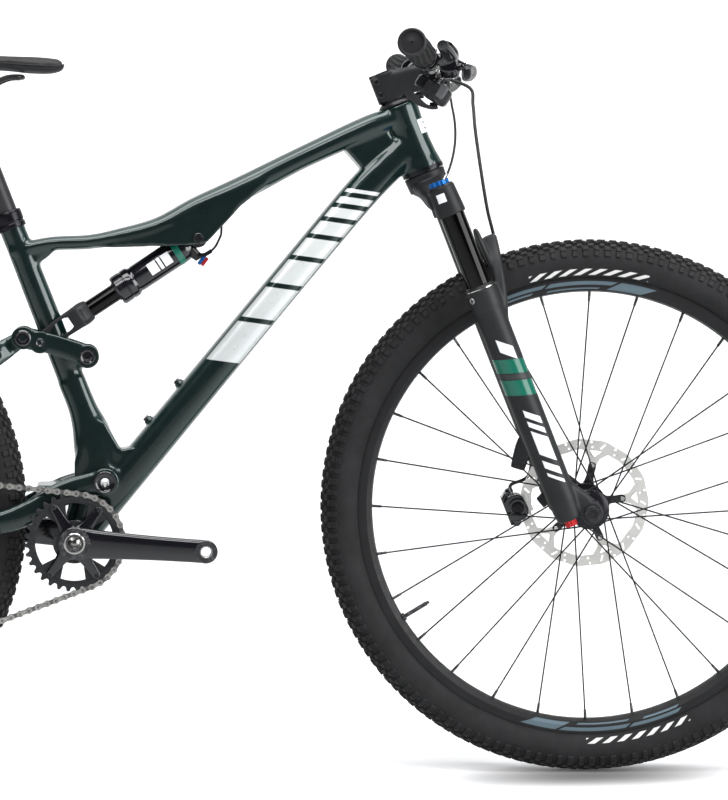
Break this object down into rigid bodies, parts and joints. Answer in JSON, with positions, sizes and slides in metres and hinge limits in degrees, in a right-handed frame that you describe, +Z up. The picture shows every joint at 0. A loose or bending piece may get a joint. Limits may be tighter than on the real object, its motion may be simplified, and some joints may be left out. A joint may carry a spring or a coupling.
{
  "type": "full suspension mountain bike",
  "caption": "Full-suspension mountain bike with a linkage-driven shock, telescopic fork, disc brakes and chain drive, without pedals.",
  "frame": {"origin": "on the ground midway between the wheel axles, in the frame's centre plane", "axes": "+X forward, +Y to the rider's left, +Z up; the drive side is at -Y"},
  "size_m": [1.8779, 0.7429, 1.019],
  "materials": {
    "frame_paint": "metallic gloss",
    "black_coat": "satin",
    "anodised_black": "anodised",
    "rim_black": "matt",
    "carbon_bar": "satin",
    "grip_rubber": "matt",
    "tyre_rubber": "matt",
    "saddle_cover": "matt",
    "steel": "brushed",
    "pulley_plastic": "matt"
  },
  "bodies": {
    "frame": {"main_frame": "frame_paint", "seatpost_clamp": "black_coat", "headset_upper_cover": "black_coat", "bb_cup_right": "anodised_black", "bb_cup_left": "anodised_black", "bottle_bolt_upper": "steel", "bottle_bolt_lower": "steel", "main_pivot_axle": "anodised_black", "rocker_axle": "anodised_black", "shock_front_bolt": "steel", "chain_front": "steel"},
    "saddle_and_post": {"seatpost": "black_coat", "saddle": "saddle_cover", "saddle_rails": "steel", "saddle_clamp": "black_coat"},
    "front_end": {"fork_crown": "black_coat", "stanchion_right": "anodised_black", "stanchion_left": "anodised_black", "stem": "black_coat", "stem_faceplate": "black_coat", "handlebar": "carbon_bar", "grip_right": "grip_rubber", "grip_left": "grip_rubber", "brake_lever_body_right": "black_coat", "brake_lever_body_left": "black_coat", "shifter_body": "black_coat", "remote_body": "black_coat"},
    "brake_lever_right": {"brake_lever_right": "black_coat"},
    "brake_lever_left": {"brake_lever_left": "black_coat"},
    "shift_lever": {"shift_lever": "black_coat"},
    "remote_lever": {"remote_lever": "black_coat"},
    "fork_lowers": {"fork_lowers": "black_coat", "front_axle": "anodised_black", "front_caliper": "black_coat"},
    "front_wheel": {"front_tyre": "tyre_rubber", "front_rim": "rim_black", "front_spoked_hub": "anodised_black", "front_rotor": "steel"},
    "chainstay": {"chainstay": "frame_paint", "rear_axle": "anodised_black", "rear_caliper": "black_coat", "derailleur_body": "black_coat", "derailleur_cage": "black_coat", "chain_rear": "steel"},
    "seatstay": {"seatstay": "frame_paint"},
    "rocker": {"rocker_link_right": "frame_paint", "rocker_link_left": "frame_paint"},
    "shock_body": {"shock_body": "black_coat"},
    "shock_shaft": {"shock_shaft": "anodised_black", "shock_yoke": "frame_paint"},
    "crank": {"crank_right": "black_coat", "crank_left": "black_coat", "chainring": "black_coat"},
    "cassette": {"cassette": "steel"},
    "guide_pulley": {"guide_pulley": "pulley_plastic"},
    "tension_pulley": {"tension_pulley": "pulley_plastic"},
    "rear_wheel": {"rear_tyre": "tyre_rubber", "rear_rim": "rim_black", "rear_spoked_hub": "anodised_black", "rear_rotor": "steel"}
  },
  "joints": [
    {"name": "steering", "type": "hinge", "parent": "frame", "child": "front_end", "pos_m": [0.34091, 0, 0.83025], "axis": [-0.3665, 0, 0.9304], "range_deg": [-58, 66]},
    {"name": "fork_travel", "type": "slide", "parent": "front_end", "child": "fork_lowers", "axis": [-0.3665, 0, 0.9304], "range_m": [0, 0.1], "stiffness_N_per_m": 6000},
    {"name": "front_wheel_spin", "type": "hinge", "parent": "fork_lowers", "child": "front_wheel", "pos_m": [0.56928, -0.00452, 0.36991], "axis": [0.0956, 0.9947, 0.0377], "continuous": true},
    {"name": "brake_lever_pull_right", "type": "hinge", "parent": "front_end", "child": "brake_lever_right", "pos_m": [0.37033, -0.19667, 0.95807], "axis": [0.0018, 0.0377, -0.9993], "range_deg": [0, 12], "stiffness_Nm_per_rad": 2},
    {"name": "brake_lever_pull_left", "type": "hinge", "parent": "front_end", "child": "brake_lever_left", "pos_m": [0.40629, 0.17734, 0.97224], "axis": [-0.0018, -0.0377, 0.9993], "range_deg": [0, 12], "stiffness_Nm_per_rad": 2},
    {"name": "shift_lever_push", "type": "hinge", "parent": "front_end", "child": "shift_lever", "pos_m": [0.331, -0.17287, 0.90731], "axis": [-0.0018, -0.0377, 0.9993], "range_deg": [0, 20], "stiffness_Nm_per_rad": 2},
    {"name": "remote_lever_push", "type": "hinge", "parent": "front_end", "child": "remote_lever", "pos_m": [0.3574, 0.16697, 0.94536], "axis": [0.0018, 0.0377, -0.9993], "range_deg": [0, 20], "stiffness_Nm_per_rad": 2},
    {"name": "seatpost_height", "type": "slide", "parent": "frame", "child": "saddle_and_post", "axis": [-0.3577, 0, 0.9338], "range_m": [-0.08, 0.05]},
    {"name": "rear_suspension", "type": "hinge", "parent": "frame", "child": "chainstay", "pos_m": [-0.0951, 0, 0.412], "axis": [0, 1, 0], "range_deg": [0, 13.3], "stiffness_Nm_per_rad": 1200},
    {"name": "seatstay_pivot", "type": "hinge", "parent": "chainstay", "child": "seatstay", "pos_m": [-0.5695, 0, 0.37], "axis": [0, 1, 0], "range_deg": [-4.6, 0.1]},
    {"name": "rocker_pivot", "type": "hinge", "parent": "frame", "child": "rocker", "pos_m": [-0.1176, 0, 0.5811], "axis": [0, 1, 0], "range_deg": [0, 40.6]},
    {"name": "shock_swing", "type": "hinge", "parent": "frame", "child": "shock_body", "pos_m": [0.0319, 0, 0.7399], "axis": [0, 1, 0], "range_deg": [0, 4.8]},
    {"name": "shock_stroke", "type": "slide", "parent": "shock_body", "child": "shock_shaft", "axis": [0.8359, 0, 0.5489], "range_m": [0, 0.0415]},
    {"name": "rear_wheel_spin", "type": "hinge", "parent": "chainstay", "child": "rear_wheel", "pos_m": [-0.5695, 0, 0.37], "axis": [0, 1, 0], "continuous": true},
    {"name": "crank_spin", "type": "hinge", "parent": "frame", "child": "crank", "pos_m": [-0.1363, 0, 0.3337], "axis": [0, 1, 0], "continuous": true},
    {"name": "cassette_spin", "type": "hinge", "parent": "chainstay", "child": "cassette", "pos_m": [-0.5695, 0, 0.37], "axis": [0, 1, 0], "continuous": true},
    {"name": "guide_pulley_spin", "type": "hinge", "parent": "chainstay", "child": "guide_pulley", "pos_m": [-0.551, 0, 0.236], "axis": [0, 1, 0], "continuous": true},
    {"name": "tension_pulley_spin", "type": "hinge", "parent": "chainstay", "child": "tension_pulley", "pos_m": [-0.535, 0, 0.145], "axis": [0, 1, 0], "continuous": true}
  ],
  "couplings": [
    {"joint": "seatstay_pivot", "follows": "rear_suspension", "ratio": -0.33},
    {"joint": "rocker_pivot", "follows": "rear_suspension", "ratio": 3.03},
    {"joint": "shock_swing", "follows": "rear_suspension", "ratio": 0.34},
    {"joint": "shock_stroke", "follows": "rear_suspension", "m_per_rad": 0.1776},
    {"joint": "cassette_spin", "follows": "crank_spin", "ratio": 0.82051},
    {"joint": "guide_pulley_spin", "follows": "crank_spin", "ratio": -2.4615},
    {"joint": "tension_pulley_spin", "follows": "crank_spin", "ratio": 2.4615}
  ]
}
